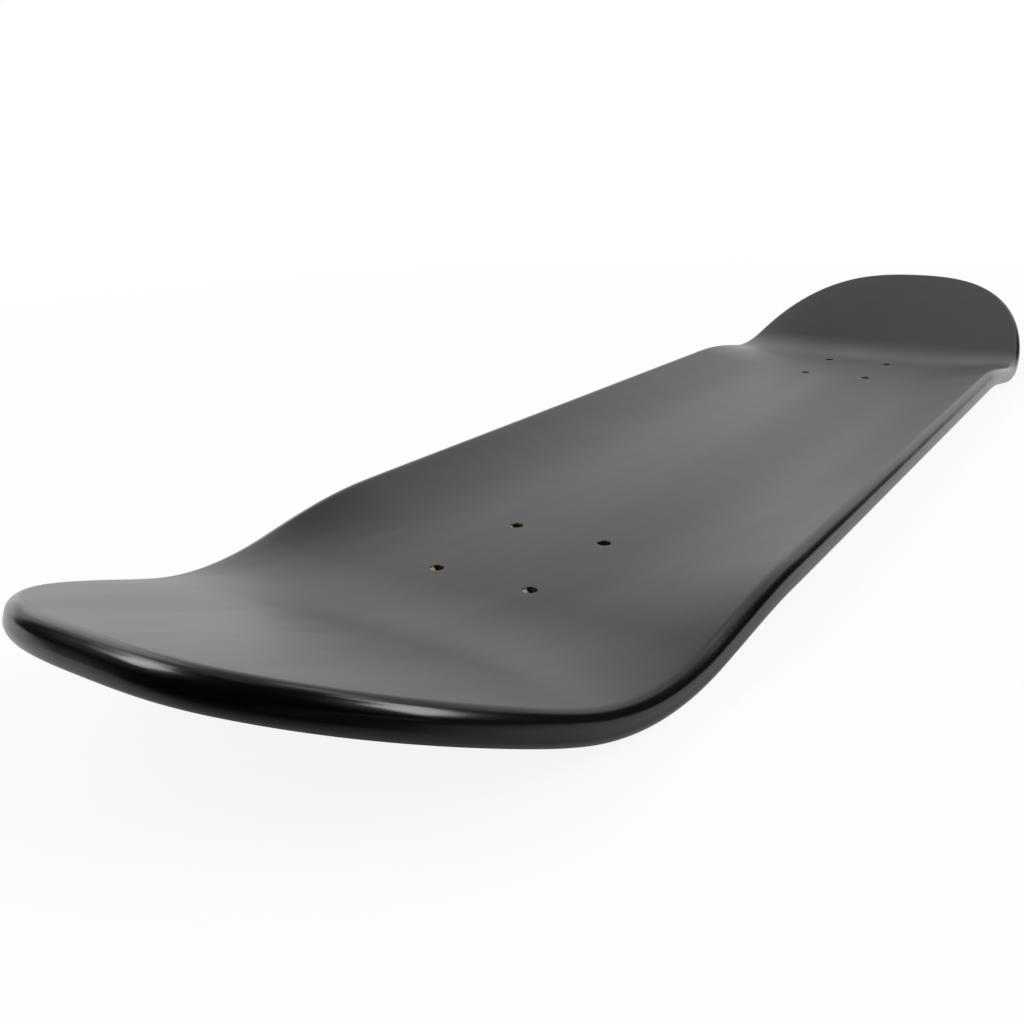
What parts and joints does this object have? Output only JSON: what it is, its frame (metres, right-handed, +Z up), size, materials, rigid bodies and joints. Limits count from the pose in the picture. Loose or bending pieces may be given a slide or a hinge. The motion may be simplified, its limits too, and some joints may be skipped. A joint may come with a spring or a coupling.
{
  "type": "skateboard deck",
  "caption": "Bare double-kick skateboard deck, a pressed maple laminate under black lacquer, with upturned rails, rounded edges and drilled truck bolt patterns.",
  "frame": {"origin": "on the flat underside, midway between the two truck bolt patterns and on the centre line", "axes": "+X along the board towards the nose, +Y towards its left rail seen from behind the tail, +Z up, out of the standing face"},
  "size_m": [0.7953, 0.2034, 0.0575],
  "materials": {
    "black_lacquer": "satin black lacquer over maple, on both faces and round the edge"
  },
  "bodies": {
    "root": {"bottom_face_veneer": "black_lacquer", "lower_long_grain_veneer": "black_lacquer", "lower_cross_grain_veneer": "black_lacquer", "core_veneer": "black_lacquer", "upper_cross_grain_veneer": "black_lacquer", "upper_long_grain_veneer": "black_lacquer", "top_face_veneer": "black_lacquer"}
  },
  "joints": []
}
